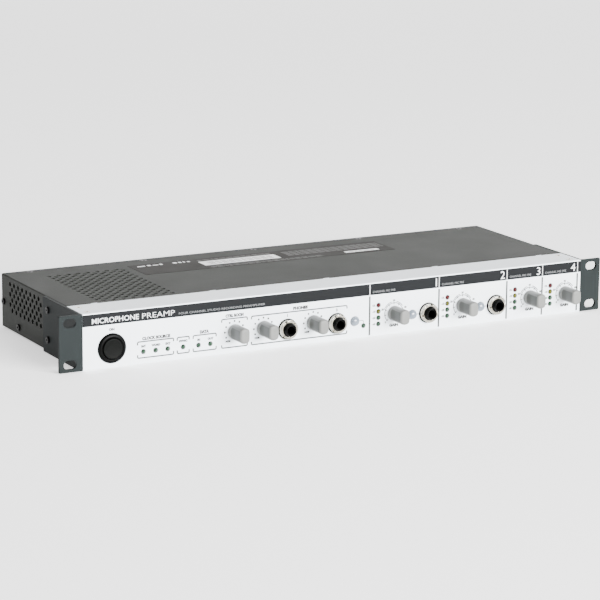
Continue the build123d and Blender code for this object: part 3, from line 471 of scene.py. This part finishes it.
class Print:
    def __init__(self, place, thickness):
        self.place = place
        self.thickness = thickness * mm
        self.work = bmesh.new()

    def outline(self, points):
        low = [self.work.verts.new(self.place @ Vector((x * mm, y * mm, 0))) for x, y in points]
        high = [self.work.verts.new(self.place @ Vector((x * mm, y * mm, self.thickness))) for x, y in points]
        count = len(points)
        self.work.faces.new(high)
        self.work.faces.new(low[::-1])
        for here in range(count):
            after = (here + 1) % count
            self.work.faces.new((low[here], low[after], high[after], high[here]))

    def panel(self, left, right, bottom, top, corner=0.0):
        if not corner:
            self.outline([(left, bottom), (right, bottom), (right, top), (left, top)])
            return
        points = []
        for x, y, start in ((right - corner, bottom + corner, -90), (right - corner, top - corner, 0),
                            (left + corner, top - corner, 90), (left + corner, bottom + corner, 180)):
            points += arc(x, y, corner, start, start + 90, cornerSteps)
        self.outline(points)

    def stroke(self, points, width):
        left, right = [], []
        last = len(points) - 1
        for here, point in enumerate(points):
            back = Vector(points[max(here - 1, 0)])
            ahead = Vector(points[min(here + 1, last)])
            first = (Vector(point) - back).normalized() if here else (ahead - Vector(point)).normalized()
            second = (ahead - Vector(point)).normalized() if here < last else first
            middle = (first + second).normalized()
            reach = width / 2 / max(middle.dot(first), mitreLimit)
            side = Vector((-middle.y, middle.x)) * reach
            left.append(tuple(Vector(point) + side))
            right.append(tuple(Vector(point) - side))
        for here in range(last):
            self.outline([right[here], right[here + 1], left[here + 1], left[here]])

    def text(self, words, x, y, height, width=None, align="LEFT", bold=0.0):
        curve = bpy.data.curves.new("words", "FONT")
        curve.body = words
        curve.resolution_u = 3
        curve.extrude = 0.01
        curve.offset = bold
        holder = bpy.data.objects.new("words", curve)
        bpy.context.scene.collection.objects.link(holder)
        bpy.context.view_layer.update()
        mesh = bpy.data.meshes.new_from_object(holder.evaluated_get(bpy.context.evaluated_depsgraph_get()))
        xs = [vertex.co.x for vertex in mesh.vertices]
        ys = [vertex.co.y for vertex in mesh.vertices]
        left, bottom = min(xs), min(ys)
        tall = height / (max(ys) - bottom)
        wide = width / (max(xs) - left) if width else tall
        whole = (max(xs) - left) * wide
        start = {"LEFT": x, "CENTER": x - whole / 2, "RIGHT": x - whole}[align]
        for vertex in mesh.vertices:
            across = start + (vertex.co.x - left) * wide
            up = y + (vertex.co.y - bottom) * tall
            rise = self.thickness if vertex.co.z > 0 else 0
            vertex.co = self.place @ Vector((across * mm, up * mm, rise))
        self.work.from_mesh(mesh)
        bpy.data.objects.remove(holder)
        bpy.data.curves.remove(curve)
        bpy.data.meshes.remove(mesh)

    def finish(self, name, look):
        bmesh.ops.recalc_face_normals(self.work, faces=self.work.faces)
        mesh = bpy.data.meshes.new(name)
        self.work.to_mesh(mesh)
        self.work.free()
        mesh.materials.append(look)
        piece = bpy.data.objects.new(name, mesh)
        bpy.context.scene.collection.objects.link(piece)
        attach(piece, "case")


def arc(x, y, radius, start, end, steps):
    turn = [math.radians(start + (end - start) * step / (steps - 1)) for step in range(steps)]
    return [(x + radius * math.cos(angle), y + radius * math.sin(angle)) for angle in turn]


def centreOf(node):
    low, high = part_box(node)
    return (low.x + high.x) / 2 / mm, (low.z + high.z) / 2 / mm


def islands(node):
    # centres of a node's separate solids, in millimetres, from left to right
    work = bmesh.new()
    work.from_mesh(frame["nodes"][node].data)
    bmesh.ops.remove_doubles(work, verts=work.verts, dist=finishing["mergeDistance"] * mm)
    waiting = set(work.verts)
    centres = []
    while waiting:
        stack = [waiting.pop()]
        found = list(stack)
        while stack:
            for edge in stack.pop().link_edges:
                for vertex in edge.verts:
                    if vertex in waiting:
                        waiting.remove(vertex)
                        stack.append(vertex)
                        found.append(vertex)
        spans = [[vertex.co[axis] for vertex in found] for axis in range(3)]
        centres.append(tuple((min(span) + max(span)) / 2 / mm for span in spans))
    work.free()
    return sorted(centres)


overload = islands("overload_lights")
lowLights = islands("level_lights_low")
status = islands("status_lights")
jacks = islands("front_jacks")
gainKnobs = [centreOf(f"gain_knob_{number}") for number in (1, 2, 3, 4)]
phones = [centreOf("phones_knob_1"), centreOf("phones_knob_2")]
monitor = centreOf("control_room_knob")
phantom = centreOf("phantom_button")
power = centreOf("power_button")
lightRow = status[0][2]

# The dark band along the panel's top and the print on it, sizes in millimetres
bandSizes = {
    "thickness": 0.08, "print": 0.05, "bottom": 11.8, "topRim": 0.4, "topGap": 0.95, "sideGap": 0.04,
    "baseline": 13.5, "titleHeight": 4.0, "smallHeight": 1.6, "smallLeft": -143, "smallWidth": 73.5,
    "channelShift": 5.4, "channelBaseline": 13.3, "channelHeight": 1.7, "channelWidth": 20.5,
    "numberShift": 2.2, "numberBaseline": 13.1, "numberHeight": 6.4,
    "dividerShift": 8.0, "lastDivider": 3.1, "dividerHalf": 0.28, "dividerGap": 0.2}
frontFace = Matrix.Rotation(math.radians(90), 4, "X")
onBand = Matrix.Translation((0, -bandSizes["thickness"] * mm, 0)) @ frontFace
bandBottom = bandSizes["bottom"]
bandTop = panelHigh.z / mm - bandSizes["topRim"] - bandSizes["topGap"]
leftEdge = panelLow.x / mm
rightEdge = panelHigh.x / mm

band = Print(frontFace, bandSizes["thickness"])
band.panel(leftEdge + bandSizes["sideGap"], rightEdge - bandSizes["sideGap"], bandBottom, bandTop)
band.finish("band_print", bandCoat)

dividers = [light[0] - bandSizes["dividerShift"] for light in overload]
dividers.append(rightEdge - bandSizes["lastDivider"])
bandPrint = Print(onBand, bandSizes["print"])
for title, left, width, bold in (("MICROPHONE", -214.7, 38.4, 0.012), ("PREAMP", -173.5, 27.0, -0.012)):
    bandPrint.text(title, left, bandSizes["baseline"], bandSizes["titleHeight"], width, bold=bold)
smallPrint = Print(onBand, bandSizes["print"])
smallPrint.text("FOUR CHANNEL STUDIO RECORDING PREAMPLIFIER", bandSizes["smallLeft"], bandSizes["baseline"],
                bandSizes["smallHeight"], bandSizes["smallWidth"])
for number, (edge, light) in enumerate(zip(dividers[1:], overload), 1):
    smallPrint.text("CHANNEL MIC PRE", light[0] - bandSizes["channelShift"], bandSizes["channelBaseline"],
                    bandSizes["channelHeight"], bandSizes["channelWidth"])
    bandPrint.text(str(number), edge - bandSizes["numberShift"], bandSizes["numberBaseline"],
                   bandSizes["numberHeight"], align="RIGHT")
for edge in dividers:
    bandPrint.panel(edge - bandSizes["dividerHalf"], edge + bandSizes["dividerHalf"],
                    bandBottom + bandSizes["dividerGap"], bandTop)
bandPrint.finish("band_lettering", lightInk)
smallPrint.finish("band_small_lettering", dimInk)

# Lines on the silver panel: dividers, frames around groups, links to the buttons and gain dials
lineSizes = {
    "thickness": 0.04, "dividerHalf": 0.75, "dividerBottom": -20.4, "dividerTop": 10.9,
    "frameWidth": 1.0, "frameCorner": 1.0, "frameBottom": -16.8, "frameTop": -4.3, "frameTick": 2.5,
    "tallTop": 5.7, "tallTick": 2.4,
    "linkWidth": 0.5, "linkCorner": 1, "linkButtonGap": 3, "linkLightGap": 1.9, "linkJackGap": 7.8,
    "dialWidth": 0.55, "dialArcs": ((8.3, 222, -42, 60), (9.4, 158, 104, 20), (9.4, 76, 34, 16)),
    "tickWidth": 0.7, "tickReach": (7.1, 8.9), "tickAngles": (222, 189, 158, 124, 90, 56, 22, -10, -42)}
lines = Print(frontFace, lineSizes["thickness"])
for edge in dividers:
    lines.panel(edge - lineSizes["dividerHalf"], edge + lineSizes["dividerHalf"],
                lineSizes["dividerBottom"], lineSizes["dividerTop"])


def groupFrame(left, right, top, tick):
    # rounded lines above and below a group of controls, with short ticks down its sides
    bottom, corner, width = lineSizes["frameBottom"], lineSizes["frameCorner"], lineSizes["frameWidth"]
    upper = arc(left + corner, top - corner, corner, 180, 90, cornerSteps)
    upper += arc(right - corner, top - corner, corner, 90, 0, cornerSteps)
    lines.stroke([(left, top - tick)] + upper + [(right, top - tick)], width)
    lower = arc(left + corner, bottom + corner, corner, 180, 270, cornerSteps)
    lower += arc(right - corner, bottom + corner, corner, 270, 360, cornerSteps)
    lines.stroke([(left, bottom + tick)] + lower + [(right, bottom + tick)], width)


for left, right in ((status[0][0] - 4.8, status[2][0] + 4.9), (status[3][0] - 4.9, status[3][0] + 5.1),
                    (status[4][0] - 4.5, status[5][0] + 5.0)):
    groupFrame(left, right, lineSizes["frameTop"], lineSizes["frameTick"])
for left, right in ((monitor[0] - 11, monitor[0] + 11), (phones[0][0] - 10.4, jacks[1][0] + 9.1)):
    groupFrame(left, right, lineSizes["tallTop"], lineSizes["tallTick"])

corner = lineSizes["linkCorner"]
turn = arc(status[6][0] - corner, phantom[1] - corner, corner, 90, 0, cornerSteps)
lines.stroke([(phantom[0] + lineSizes["linkButtonGap"], phantom[1])] + turn
             + [(status[6][0], lightRow + lineSizes["linkLightGap"])], lineSizes["linkWidth"])
for button, jack in (("channel_button_1", jacks[2]), ("channel_button_2", jacks[3])):
    place = centreOf(button)
    lines.stroke([(place[0] + lineSizes["linkButtonGap"], place[1]),
                  (jack[0] - lineSizes["linkJackGap"], place[1])], lineSizes["linkWidth"])
for x, z in gainKnobs:
    for reach, start, end, steps in lineSizes["dialArcs"]:
        lines.stroke(arc(x, z, reach, start, end, steps), lineSizes["dialWidth"])
    for angle in lineSizes["tickAngles"]:
        turn = Vector((math.cos(math.radians(angle)), math.sin(math.radians(angle))))
        ends = [(x + reach * turn.x, z + reach * turn.y) for reach in lineSizes["tickReach"]]
        lines.stroke(ends, lineSizes["tickWidth"])
lines.finish("panel_lines", lineInk)

# Lettering on the silver panel: each row holds words, middle, baseline, height, width and boldness
labels = [("ON", power[0], 6.8, 2.2, 4.6, 0.07), ("CLOCK SOURCE", status[1][0] + 0.5, -3.3, 2.6, 23.4, 0.085)]
for label, place in zip(("INT", "WORD", "EXT", "IN", "OUT"), status[:3] + status[4:6]):
    labels.append((label, place[0] + 0.2, -8.9, 1.9, None, 0.085))
labels += [("SYNC", status[3][0] + 0.1, -8.2, 1.8, 7.2, 0.085),
           ("DATA", (status[4][0] + status[5][0]) / 2, -3.3, 2.6, 7.8, 0.085),
           ("CTRL ROOM", monitor[0], 6.8, 2.6, 15.6, 0.085),
           ("PHONES", (phones[0][0] + jacks[1][0]) / 2, 6.8, 2.7, 13.0, 0.085)]
labels += [(str(number), jack[0], 2.0, 2.3, None, 0.06) for number, jack in enumerate(jacks[:2], 1)]
labels += [("MIN", knob[0] - 5.6, knob[1] - 8.0, 1.7, None, 0.04) for knob in [monitor] + phones]
gainMarks = (("0", 222, 10.3), ("20", 160, 11.0), ("30", 90, 10.2), ("40", 20, 11.0), ("60", -42, 10.6))
for knob in gainKnobs:
    labels.append(("GAIN", knob[0], -15.7, 2.6, 8.2, 0.085))
    for label, angle, reach in gainMarks:
        x = knob[0] + reach * math.cos(math.radians(angle))
        z = knob[1] + reach * math.sin(math.radians(angle))
        labels.append((label, x, z - 0.8, 1.7, None, 0.06))
meterSizes = {"shift": 2.7, "pitch": 5.05, "drop": 0.8, "height": 1.7, "bold": 0.06}
words = Print(frontFace, 0.05)
for label, middle, baseline, height, width, bold in labels:
    words.text(label, middle, baseline, height, width, "CENTER", bold)
for light in overload:
    for label, row in (("OL", 3), ("-10", 2), ("-20", 1), ("-40", 0)):
        baseline = lightRow + row * meterSizes["pitch"] - meterSizes["drop"]
        words.text(label, light[0] - meterSizes["shift"], baseline, meterSizes["height"], None, "RIGHT",
                   meterSizes["bold"])
words.finish("panel_lettering", darkInk)
print("front artwork printed")

# Cover label: a white writing box and neutral rows and marks, sizes in millimetres
labelSizes = {
    "white": 0.04, "grey": 0.05, "box": 0.07, "marksBottom": 132.4, "markCorner": 0.6,
    "boxes": ((-64, 5, 114.5, 129), (62.5, 94, 108.2, 113.2)),
    "marks": ((-116, 7.0, 2.2), (-107, 3.2, 3.4), (-102.4, 5.2, 2.0), (-96, 2.6, 3.6), (-84, 3.4, 3.6),
              (-79, 2.4, 3.6), (-75, 1.6, 3.6), (-71.6, 2.6, 2.6)),
    "shortDash": 2.6, "dashStep": 0.9, "dashLengths": 5, "dashGap": 1.1,
    "greyRows": ((-62, 4, 131.4, 2, 2.8, 1.1), (14, 104, 119.0, 5, 3.3, 1.3), (-62, 40, 105.2, 2, 3.2, 1.1)),
    "boxRows": ((-58, 0, 117.5, 3, 3.4, 1.3), (66, 90, 109.6, 1, 2.0, 1.2))}
onLabel = Matrix.Translation((0, 0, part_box("cover_label")[1].z))
white = Print(onLabel, labelSizes["white"])
for left, right, bottom, top in labelSizes["boxes"]:
    white.panel(left, right, bottom, top)
for x, wide, tall in labelSizes["marks"]:
    bottom = labelSizes["marksBottom"]
    white.panel(x, x + wide, bottom, bottom + tall, labelSizes["markCorner"])
white.finish("label_white", whiteInk)


def markRows(sheet, left, right, bottom, rows, pitch, tall):
    # rows of short dashes, like small print too fine to read
    for row in range(rows):
        x = left
        while x < right:
            length = int(x * 7 + row * 5) % labelSizes["dashLengths"]
            wide = labelSizes["shortDash"] + length * labelSizes["dashStep"]
            sheet.panel(x, min(x + wide, right), bottom + row * pitch, bottom + row * pitch + tall)
            x += wide + labelSizes["dashGap"]


grey = Print(onLabel, labelSizes["grey"])
for rows in labelSizes["greyRows"]:
    markRows(grey, *rows)
grey.finish("label_grey", greyInk)
boxMarks = Print(onLabel, labelSizes["box"])
for rows in labelSizes["boxRows"]:
    markRows(boxMarks, *rows)
boxMarks.finish("label_box_marks", lineInk)

# Rear panel lettering: each row holds words, middle, baseline and height
rearFace = Matrix.Translation((0, coverBack, 0)) @ Matrix.Rotation(math.pi, 4, "Z") @ frontFace
rearRows = []
for node, baseline, height in (("mic_sockets", 15.6, 2.2), ("line_sockets", 9.2, 2.0)):
    for number, place in enumerate(islands(node)[::-1], 1):
        rearRows.append((str(number), -place[0], baseline, height))
for label, node, baseline in (("LINE OUTPUTS", "line_sockets", 13.6), ("DATA", "data_ports", 10.5),
                              ("CLOCK", "word_clock_sockets", 10.5), ("AC POWER", "mains_inlet", 13.8)):
    rearRows.append((label, -centreOf(node)[0], baseline, 1.9))
rear = Print(rearFace, 0.04)
for label, middle, baseline, height in rearRows:
    rear.text(label, middle, baseline, height, None, "CENTER", 0.01)
rear.finish("rear_lettering", lightInk)
print("label and rear artwork printed")


# Geometry Nodes: a small pattern grown on every point of a piece
def newTree(name, inputs):
    tree = bpy.data.node_groups.new(name, "GeometryNodeTree")
    tree.interface.new_socket("Geometry", in_out="OUTPUT", socket_type="NodeSocketGeometry")
    tree.interface.new_socket("Points", in_out="INPUT", socket_type="NodeSocketGeometry")
    for label, kind in inputs.items():
        tree.interface.new_socket(label, in_out="INPUT", socket_type=kind)
    return tree


def grow(tree, kind, inputs=None):
    node = tree.nodes.new(kind)
    for key, value in (inputs or {}).items():
        if isinstance(value, bpy.types.NodeSocket):
            tree.links.new(value, node.inputs[key])
        else:
            node.inputs[key].default_value = value
    return node


def endTree(tree, start, pattern):
    # puts the pattern on each point, turned to face forward, and makes it real
    spread = grow(tree, "GeometryNodeInstanceOnPoints", {
        "Points": start.outputs["Points"], "Instance": pattern, "Rotation": (math.radians(90), 0, 0)})
    real = grow(tree, "GeometryNodeRealizeInstances", {"Geometry": spread.outputs["Instances"]})
    paint = grow(tree, "GeometryNodeSetMaterial", {
        "Geometry": real.outputs["Geometry"], "Material": start.outputs["Material"]})
    end = grow(tree, "NodeGroupOutput")
    tree.links.new(paint.outputs["Geometry"], end.inputs["Geometry"])
    return tree


# painted shade: a thin black ring that stands in for the shadowed gap round each light
def collarTree():
    tree = newTree("lightShadeRing", {
        "Ring Radius": "NodeSocketFloat", "Bead Radius": "NodeSocketFloat", "Material": "NodeSocketMaterial"})
    start = grow(tree, "NodeGroupInput")
    loop = grow(tree, "GeometryNodeCurvePrimitiveCircle", {
        "Resolution": 24, "Radius": start.outputs["Ring Radius"]})
    section = grow(tree, "GeometryNodeCurvePrimitiveCircle", {
        "Resolution": 8, "Radius": start.outputs["Bead Radius"]})
    ring = grow(tree, "GeometryNodeCurveToMesh", {
        "Curve": loop.outputs["Curve"], "Profile Curve": section.outputs["Curve"]})
    return endTree(tree, start, ring.outputs["Mesh"])


def dialTree():
    tree = newTree("dialDots", {
        "Count": "NodeSocketInt", "Arc Radius": "NodeSocketFloat", "Start": "NodeSocketFloat",
        "Sweep": "NodeSocketFloat", "Dot Radius": "NodeSocketFloat", "Thickness": "NodeSocketFloat",
        "Material": "NodeSocketMaterial"})
    start = grow(tree, "NodeGroupInput")
    path = grow(tree, "GeometryNodeCurveArc", {
        "Resolution": start.outputs["Count"], "Radius": start.outputs["Arc Radius"],
        "Start Angle": start.outputs["Start"], "Sweep Angle": start.outputs["Sweep"]})
    disc = grow(tree, "GeometryNodeMeshCylinder", {
        "Vertices": 12, "Radius": start.outputs["Dot Radius"], "Depth": start.outputs["Thickness"]})
    dots = grow(tree, "GeometryNodeInstanceOnPoints", {
        "Points": path.outputs["Curve"], "Instance": disc.outputs["Mesh"]})
    return endTree(tree, start, dots.outputs["Instances"])


def growPiece(name, tree, values, points):
    holder = bpy.data.objects.new(name, bpy.data.meshes.new(name))
    holder.data.from_pydata([Vector(point) * mm for point in points], [], [])
    bpy.context.scene.collection.objects.link(holder)
    modifier = holder.modifiers.new("grow", "NODES")
    modifier.node_group = tree
    for item in tree.interface.items_tree:
        if item.in_out == "INPUT" and item.name in values:
            modifier[item.identifier] = values[item.name]
    holder.update_tag()
    bpy.context.view_layer.update()
    grown = bpy.data.meshes.new_from_object(holder.evaluated_get(bpy.context.evaluated_depsgraph_get()))
    holder.modifiers.remove(modifier)
    work = bmesh.new()
    work.from_mesh(grown)
    bmesh.ops.recalc_face_normals(work, faces=work.faces)
    for face in work.faces:
        face.smooth = len(face.verts) == 4
    work.to_mesh(holder.data)
    work.free()
    bpy.data.meshes.remove(grown)
    holder.data.materials.clear()
    holder.data.materials.append(values["Material"])
    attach(holder, "case")
    print(name, len(holder.data.vertices), "points")


dialSize = {"Count": 11, "Arc Radius": 8.3 * mm, "Start": math.radians(-60), "Sweep": math.radians(300),
            "Dot Radius": 0.78 * mm, "Thickness": 0.1 * mm, "Material": darkInk}
growPiece("dial_dots", dialTree(), dialSize, [(x, 0, z) for x, z in [monitor] + phones])
# painted shade: black rings round the lights stand in for the shadow in each panel hole's gap
shadeRingSize = {"Ring Radius": 1.72 * mm, "Bead Radius": 0.3 * mm, "Material": blackPlastic}
lights = status + lowLights + islands("level_lights_high") + overload
growPiece("light_shade_rings", collarTree(), shadeRingSize, [(x, 0, z) for x, y, z in lights])
print("patterns grown")

# Floor, lights and camera, sizes in metres and angles in degrees
studio = {
    "floor": (0.93, 0.95), "floorSize": 40, "floorGap": 0.0002, "floorRough": 0.8, "glow": 0.9, "world": 0.3}
lamps = {
    "keyLight": {"place": (0.9, -3.2, 0.95), "target": (0, 0, 0), "size": (2.6, 1.2), "power": 620},
    "topLight": {"place": (0.3, 0.8, 2.8), "target": (0, 0.1, 0), "size": (3.4, 3.4), "power": 62},
    "backLight": {"place": (1.6, 3.0, 1.0), "target": (0, 0.1, 0), "size": (3.4, 1.0), "power": 40},
    "fillLight": {"place": (-2.6, -1.4, 0.8), "target": (0, 0, 0), "size": (1.6, 1.2), "power": 2}}
view = {"place": (-0.9830, -1.7525, 0.4696), "lens": 158.15, "sensor": 36, "down": 12.883, "turn": -28.309,
        "roll": 0.483, "near": 0.05, "far": 60}
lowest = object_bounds()[0].z
bpy.ops.mesh.primitive_plane_add(size=studio["floorSize"], location=(0, 0, lowest - studio["floorGap"]))
floor = bpy.context.object
floor.name = "studio_floor"
floorLook = Look("floorLook", specular=0.2)
floorDark, floorLight = studio["floor"]
floorLook.colour(floorLook.mix(floorLook.noise(3, 3), (floorDark,) * 3, (floorLight,) * 3))
floorLook.rough(studio["floorRough"])
floorLook.shader.inputs["Emission Color"].default_value = (1, 1, 1, 1)
floorLook.shader.inputs["Emission Strength"].default_value = studio["glow"]
floor.data.materials.append(floorLook.material)


def softLight(name, place, target, size, power):
    lamp = bpy.data.lights.new(name, "AREA")
    lamp.shape = "RECTANGLE"
    lamp.size, lamp.size_y = size
    lamp.energy = power
    holder = bpy.data.objects.new(name, lamp)
    bpy.context.scene.collection.objects.link(holder)
    holder.location = place
    holder.rotation_euler = (Vector(target) - Vector(place)).to_track_quat("-Z", "Y").to_euler()


for name, values in lamps.items():
    softLight(name, **values)
world = bpy.data.worlds.new("studioWorld")
bpy.context.scene.world = world
world.use_nodes = True
world.node_tree.nodes["Background"].inputs["Color"].default_value = (1, 1, 1, 1)
world.node_tree.nodes["Background"].inputs["Strength"].default_value = studio["world"]

optics = bpy.data.cameras.new("photoCamera")
optics.lens = view["lens"]
optics.sensor_width = view["sensor"]
optics.clip_start = view["near"]
optics.clip_end = view["far"]
camera = bpy.data.objects.new("photoCamera", optics)
bpy.context.scene.collection.objects.link(camera)
camera.location = view["place"]
tilt = Euler((math.radians(90 - view["down"]), 0, math.radians(view["turn"]))).to_matrix().to_4x4()
camera.rotation_euler = (tilt @ Matrix.Rotation(math.radians(view["roll"]), 4, "Z")).to_euler()
bpy.context.scene.camera = camera

print("scene ready")
